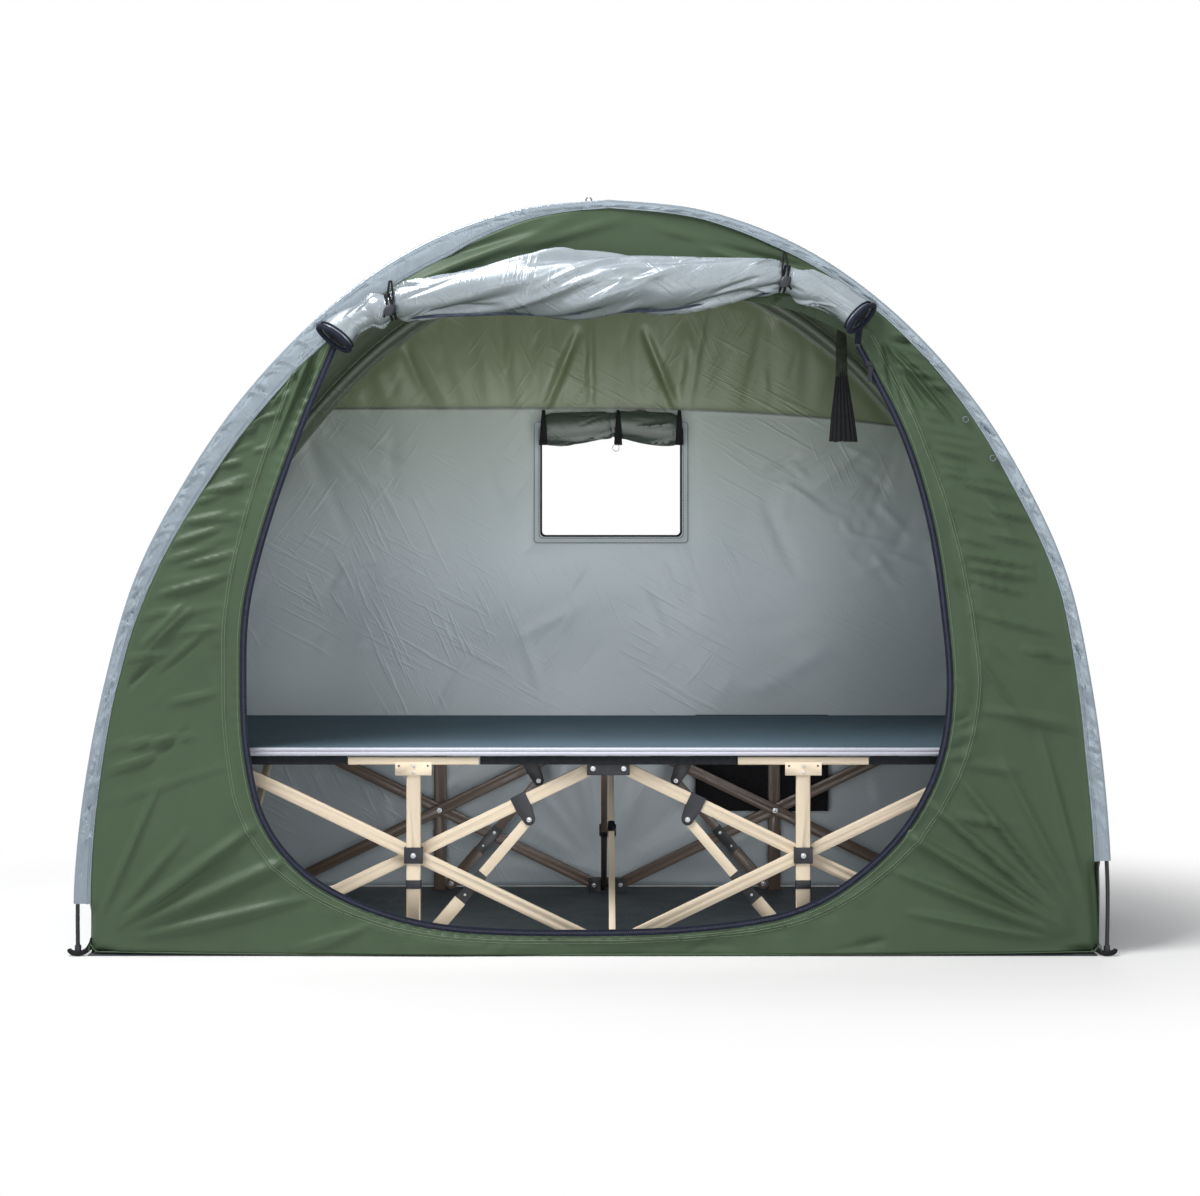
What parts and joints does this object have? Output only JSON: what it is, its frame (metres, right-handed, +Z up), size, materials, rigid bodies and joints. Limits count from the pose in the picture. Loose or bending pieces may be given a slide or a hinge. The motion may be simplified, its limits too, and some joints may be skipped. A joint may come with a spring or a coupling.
{
  "type": "tent cot",
  "caption": "Arched one-person tent with a rolled-up door over a camp bed whose scissor frame folds in both directions.",
  "frame": {"origin": "on the ground under the middle of the whole object", "axes": "+X along the bed towards the right of the doorway's view, +Y from the doorway to the back wall, +Z up"},
  "size_m": [2.224, 1.0106, 1.605],
  "materials": {
    "bed_cloth": "dark slate woven bed cloth",
    "beige_paint": "beige powder coat, semi-gloss",
    "black_cloth": "black webbing and mesh",
    "black_plastic": "black moulded nylon",
    "green_cloth": "green polyester with a light satin sheen",
    "grey_cloth": "silver grey coated polyester",
    "ground_cloth": "dark charcoal coated floor cloth",
    "pole_resin": "black glass-fibre rod",
    "silver_cloth": "silver coated polyester, fairly glossy",
    "zip_metal": "dull nickel",
    "zip_tape": "navy black zip tape"
  },
  "bodies": {
    "tent": {"groundsheet": "ground_cloth", "roof_shell": "silver_cloth", "front_pole": "pole_resin", "rear_pole": "pole_resin", "front_wall": "green_cloth", "back_wall": "grey_cloth", "door_zip": "zip_tape", "door_roll": "silver_cloth", "window_roll": "green_cloth", "hanging_strap": "black_cloth", "near_centre_bottom_bracket": "black_plastic"},
    "near_right_rising": {"near_right_rising_bar": "beige_paint"},
    "near_right_leg": {"near_right_leg": "beige_paint", "near_right_hub": "black_plastic"},
    "near_right_falling": {"near_right_falling_bar": "beige_paint", "near_right_clevis": "black_plastic"},
    "near_right_top": {"near_right_top_bracket": "black_plastic"},
    "near_right_bottom": {"near_right_bottom_bracket": "black_plastic"},
    "near_right_outer_strut": {"near_right_outer_strut": "beige_paint"},
    "near_right_inner_strut": {"near_right_inner_strut": "beige_paint"},
    "near_left_rising": {"near_left_rising_bar": "beige_paint"},
    "near_left_leg": {"near_left_leg": "beige_paint", "near_left_hub": "black_plastic"},
    "near_left_falling": {"near_left_falling_bar": "beige_paint", "near_left_clevis": "black_plastic"},
    "near_left_top": {"near_left_top_bracket": "black_plastic"},
    "near_left_bottom": {"near_left_bottom_bracket": "black_plastic"},
    "near_left_outer_strut": {"near_left_outer_strut": "beige_paint"},
    "near_left_inner_strut": {"near_left_inner_strut": "beige_paint"},
    "far_right_rising": {"far_right_rising_bar": "beige_paint"},
    "far_right_leg": {"far_right_leg": "beige_paint", "far_right_hub": "black_plastic", "storage_pouch": "black_cloth"},
    "far_right_falling": {"far_right_falling_bar": "beige_paint", "far_right_clevis": "black_plastic"},
    "far_right_top": {"far_right_top_bracket": "black_plastic"},
    "far_right_bottom": {"far_right_bottom_bracket": "black_plastic"},
    "far_right_outer_strut": {"far_right_outer_strut": "beige_paint"},
    "far_right_inner_strut": {"far_right_inner_strut": "beige_paint"},
    "far_left_rising": {"far_left_rising_bar": "beige_paint"},
    "far_left_leg": {"far_left_leg": "beige_paint", "far_left_hub": "black_plastic"},
    "far_left_falling": {"far_left_falling_bar": "beige_paint", "far_left_clevis": "black_plastic"},
    "far_left_top": {"far_left_top_bracket": "black_plastic"},
    "far_left_bottom": {"far_left_bottom_bracket": "black_plastic"},
    "far_left_outer_strut": {"far_left_outer_strut": "beige_paint"},
    "far_left_inner_strut": {"far_left_inner_strut": "beige_paint"},
    "near_centre_top": {"near_centre_top_bracket": "black_plastic", "bed_cloth": "bed_cloth"},
    "far_centre_top": {"far_centre_top_bracket": "black_plastic"},
    "far_centre_bottom": {"far_centre_bottom_bracket": "black_plastic"},
    "left_rising_cross": {"left_rising_cross_bar": "beige_paint"},
    "left_falling_cross": {"left_falling_cross_bar": "beige_paint"},
    "centre_rising_cross": {"centre_rising_cross_bar": "beige_paint"},
    "centre_falling_cross": {"centre_falling_cross_bar": "beige_paint"},
    "right_rising_cross": {"right_rising_cross_bar": "beige_paint"},
    "right_falling_cross": {"right_falling_cross_bar": "beige_paint"},
    "zip_slider_body": {"zip_slider": "zip_metal"},
    "zip_pull_body": {"zip_pull": "zip_metal"}
  },
  "joints": [
    {"name": "fold", "type": "hinge", "parent": "tent", "child": "near_right_rising", "pos_m": [0.067, -0.35515, 0.02], "axis": [0, -1, 0], "range_deg": [0, 45], "deforming": ["bed_cloth"]},
    {"name": "near_right_leg_turn", "type": "hinge", "parent": "near_right_rising", "child": "near_right_leg", "pos_m": [0.4525, -0.35515, 0.2057], "axis": [0, -1, 0], "range_deg": [-45, 0]},
    {"name": "near_right_falling_turn", "type": "hinge", "parent": "near_right_leg", "child": "near_right_falling", "pos_m": [0.4525, -0.35515, 0.2057], "axis": [0, -1, 0], "range_deg": [-45, 0]},
    {"name": "near_centre_top_turn", "type": "hinge", "parent": "near_right_falling", "child": "near_centre_top", "pos_m": [0.067, -0.35515, 0.3914], "axis": [0, -1, 0], "range_deg": [0, 45]},
    {"name": "near_right_top_turn", "type": "hinge", "parent": "near_right_rising", "child": "near_right_top", "pos_m": [0.838, -0.35515, 0.3914], "axis": [0, -1, 0], "range_deg": [-45, 0]},
    {"name": "near_right_bottom_turn", "type": "hinge", "parent": "near_right_falling", "child": "near_right_bottom", "pos_m": [0.838, -0.35515, 0.02], "axis": [0, -1, 0], "range_deg": [0, 45]},
    {"name": "near_left_rising_turn", "type": "hinge", "parent": "tent", "child": "near_left_rising", "pos_m": [0.001, -0.35515, 0.02], "axis": [0, -1, 0], "range_deg": [-45, 0]},
    {"name": "near_left_leg_turn", "type": "hinge", "parent": "near_left_rising", "child": "near_left_leg", "pos_m": [-0.3845, -0.35515, 0.2057], "axis": [0, -1, 0], "range_deg": [0, 45]},
    {"name": "near_left_falling_turn", "type": "hinge", "parent": "near_left_leg", "child": "near_left_falling", "pos_m": [-0.3845, -0.35515, 0.2057], "axis": [0, -1, 0], "range_deg": [0, 45]},
    {"name": "near_left_top_turn", "type": "hinge", "parent": "near_left_rising", "child": "near_left_top", "pos_m": [-0.77, -0.35515, 0.3914], "axis": [0, -1, 0], "range_deg": [0, 45]},
    {"name": "near_left_bottom_turn", "type": "hinge", "parent": "near_left_falling", "child": "near_left_bottom", "pos_m": [-0.77, -0.35515, 0.02], "axis": [0, -1, 0], "range_deg": [-45, 0]},
    {"name": "left_rising_cross_turn", "type": "hinge", "parent": "near_left_bottom", "child": "left_rising_cross", "pos_m": [-0.803, -0.35515, 0.02], "axis": [1, 0, 0], "range_deg": [0, 45]},
    {"name": "left_falling_cross_turn", "type": "hinge", "parent": "near_left_top", "child": "left_falling_cross", "pos_m": [-0.803, -0.35515, 0.3914], "axis": [1, 0, 0], "range_deg": [-45, 0]},
    {"name": "centre_rising_cross_turn", "type": "hinge", "parent": "tent", "child": "centre_rising_cross", "pos_m": [0.034, -0.35515, 0.02], "axis": [1, 0, 0], "range_deg": [0, 45]},
    {"name": "centre_falling_cross_turn", "type": "hinge", "parent": "near_centre_top", "child": "centre_falling_cross", "pos_m": [0.034, -0.35515, 0.3914], "axis": [1, 0, 0], "range_deg": [-45, 0]},
    {"name": "right_rising_cross_turn", "type": "hinge", "parent": "near_right_bottom", "child": "right_rising_cross", "pos_m": [0.871, -0.35515, 0.02], "axis": [1, 0, 0], "range_deg": [0, 45]},
    {"name": "right_falling_cross_turn", "type": "hinge", "parent": "near_right_top", "child": "right_falling_cross", "pos_m": [0.871, -0.35515, 0.3914], "axis": [1, 0, 0], "range_deg": [-45, 0]},
    {"name": "far_centre_top_turn", "type": "hinge", "parent": "centre_rising_cross", "child": "far_centre_top", "pos_m": [0.034, 0.41585, 0.3914], "axis": [1, 0, 0], "range_deg": [-45, 0]},
    {"name": "far_right_falling_turn", "type": "hinge", "parent": "far_centre_top", "child": "far_right_falling", "pos_m": [0.067, 0.41585, 0.3914], "axis": [0, -1, 0], "range_deg": [-45, 0]},
    {"name": "far_right_leg_turn", "type": "hinge", "parent": "far_right_falling", "child": "far_right_leg", "pos_m": [0.4525, 0.41585, 0.2057], "axis": [0, -1, 0], "range_deg": [0, 45]},
    {"name": "far_right_rising_turn", "type": "hinge", "parent": "far_right_leg", "child": "far_right_rising", "pos_m": [0.4525, 0.41585, 0.2057], "axis": [0, -1, 0], "range_deg": [0, 45]},
    {"name": "far_centre_bottom_turn", "type": "hinge", "parent": "far_right_rising", "child": "far_centre_bottom", "pos_m": [0.067, 0.41585, 0.02], "axis": [0, -1, 0], "range_deg": [-45, 0]},
    {"name": "far_right_bottom_turn", "type": "hinge", "parent": "far_right_falling", "child": "far_right_bottom", "pos_m": [0.838, 0.41585, 0.02], "axis": [0, -1, 0], "range_deg": [0, 45]},
    {"name": "far_right_top_turn", "type": "hinge", "parent": "far_right_rising", "child": "far_right_top", "pos_m": [0.838, 0.41585, 0.3914], "axis": [0, -1, 0], "range_deg": [-45, 0]},
    {"name": "far_left_falling_turn", "type": "hinge", "parent": "far_centre_top", "child": "far_left_falling", "pos_m": [0.001, 0.41585, 0.3914], "axis": [0, -1, 0], "range_deg": [0, 45]},
    {"name": "far_left_leg_turn", "type": "hinge", "parent": "far_left_falling", "child": "far_left_leg", "pos_m": [-0.3845, 0.41585, 0.2057], "axis": [0, -1, 0], "range_deg": [-45, 0]},
    {"name": "far_left_rising_turn", "type": "hinge", "parent": "far_left_leg", "child": "far_left_rising", "pos_m": [-0.3845, 0.41585, 0.2057], "axis": [0, -1, 0], "range_deg": [-45, 0]},
    {"name": "far_left_bottom_turn", "type": "hinge", "parent": "far_left_falling", "child": "far_left_bottom", "pos_m": [-0.77, 0.41585, 0.02], "axis": [0, -1, 0], "range_deg": [-45, 0]},
    {"name": "far_left_top_turn", "type": "hinge", "parent": "far_left_rising", "child": "far_left_top", "pos_m": [-0.77, 0.41585, 0.3914], "axis": [0, -1, 0], "range_deg": [0, 45]},
    {"name": "near_left_strut_swing", "type": "hinge", "parent": "near_left_leg", "child": "near_left_outer_strut", "pos_m": [-0.3545, -0.35515, 0.024], "axis": [0, -1, 0], "range_deg": [0, 27.6]},
    {"name": "near_left_strut_slide", "type": "slide", "parent": "near_left_outer_strut", "child": "near_left_inner_strut", "axis": [0.6484, 0, 0.7613], "range_m": [0, 0.0839]},
    {"name": "near_right_strut_swing", "type": "hinge", "parent": "near_right_leg", "child": "near_right_outer_strut", "pos_m": [0.4225, -0.35515, 0.024], "axis": [0, -1, 0], "range_deg": [-27.6, 0]},
    {"name": "near_right_strut_slide", "type": "slide", "parent": "near_right_outer_strut", "child": "near_right_inner_strut", "axis": [-0.6484, 0, 0.7613], "range_m": [0, 0.0839]},
    {"name": "far_left_strut_swing", "type": "hinge", "parent": "far_left_leg", "child": "far_left_outer_strut", "pos_m": [-0.3545, 0.41585, 0.024], "axis": [0, -1, 0], "range_deg": [0, 27.6]},
    {"name": "far_left_strut_slide", "type": "slide", "parent": "far_left_outer_strut", "child": "far_left_inner_strut", "axis": [0.6484, 0, 0.7613], "range_m": [0, 0.0839]},
    {"name": "far_right_strut_swing", "type": "hinge", "parent": "far_right_leg", "child": "far_right_outer_strut", "pos_m": [0.4225, 0.41585, 0.024], "axis": [0, -1, 0], "range_deg": [-27.6, 0]},
    {"name": "far_right_strut_slide", "type": "slide", "parent": "far_right_outer_strut", "child": "far_right_inner_strut", "axis": [-0.6484, 0, 0.7613], "range_m": [0, 0.0839]},
    {"name": "zip_slide", "type": "slide", "parent": "tent", "child": "zip_slider_body", "axis": [0.401, 0, -0.9161], "range_m": [0, 0.24]},
    {"name": "zip_pull_turn", "type": "hinge", "parent": "zip_slider_body", "child": "zip_pull_body", "pos_m": [0.58794, -0.45185, 1.25204], "axis": [-1, 0, 0], "range_deg": [0, 150]}
  ],
  "couplings": [
    {"joint": "near_right_leg_turn", "follows": "fold", "ratio": -1},
    {"joint": "near_right_falling_turn", "follows": "fold", "ratio": -1},
    {"joint": "near_centre_top_turn", "follows": "fold", "ratio": 1},
    {"joint": "near_right_top_turn", "follows": "fold", "ratio": -1},
    {"joint": "near_right_bottom_turn", "follows": "fold", "ratio": 1},
    {"joint": "near_left_rising_turn", "follows": "fold", "ratio": -1},
    {"joint": "near_left_leg_turn", "follows": "fold", "ratio": 1},
    {"joint": "near_left_falling_turn", "follows": "fold", "ratio": 1},
    {"joint": "near_left_top_turn", "follows": "fold", "ratio": 1},
    {"joint": "near_left_bottom_turn", "follows": "fold", "ratio": -1},
    {"joint": "left_rising_cross_turn", "follows": "fold", "ratio": 1},
    {"joint": "left_falling_cross_turn", "follows": "fold", "ratio": -1},
    {"joint": "centre_rising_cross_turn", "follows": "fold", "ratio": 1},
    {"joint": "centre_falling_cross_turn", "follows": "fold", "ratio": -1},
    {"joint": "right_rising_cross_turn", "follows": "fold", "ratio": 1},
    {"joint": "right_falling_cross_turn", "follows": "fold", "ratio": -1},
    {"joint": "far_centre_top_turn", "follows": "fold", "ratio": -1},
    {"joint": "far_right_falling_turn", "follows": "fold", "ratio": -1},
    {"joint": "far_right_leg_turn", "follows": "fold", "ratio": 1},
    {"joint": "far_right_rising_turn", "follows": "fold", "ratio": 1},
    {"joint": "far_centre_bottom_turn", "follows": "fold", "ratio": -1},
    {"joint": "far_right_bottom_turn", "follows": "fold", "ratio": 1},
    {"joint": "far_right_top_turn", "follows": "fold", "ratio": -1},
    {"joint": "far_left_falling_turn", "follows": "fold", "ratio": 1},
    {"joint": "far_left_leg_turn", "follows": "fold", "ratio": -1},
    {"joint": "far_left_rising_turn", "follows": "fold", "ratio": -1},
    {"joint": "far_left_bottom_turn", "follows": "fold", "ratio": -1},
    {"joint": "far_left_top_turn", "follows": "fold", "ratio": 1},
    {"joint": "near_left_strut_swing", "follows": "fold", "ratio": 0.613},
    {"joint": "near_left_strut_slide", "follows": "fold", "m_per_rad": 0.1067},
    {"joint": "near_right_strut_swing", "follows": "fold", "ratio": -0.613},
    {"joint": "near_right_strut_slide", "follows": "fold", "m_per_rad": 0.1067},
    {"joint": "far_left_strut_swing", "follows": "fold", "ratio": 0.613},
    {"joint": "far_left_strut_slide", "follows": "fold", "m_per_rad": 0.1067},
    {"joint": "far_right_strut_swing", "follows": "fold", "ratio": -0.613},
    {"joint": "far_right_strut_slide", "follows": "fold", "m_per_rad": 0.1067}
  ]
}
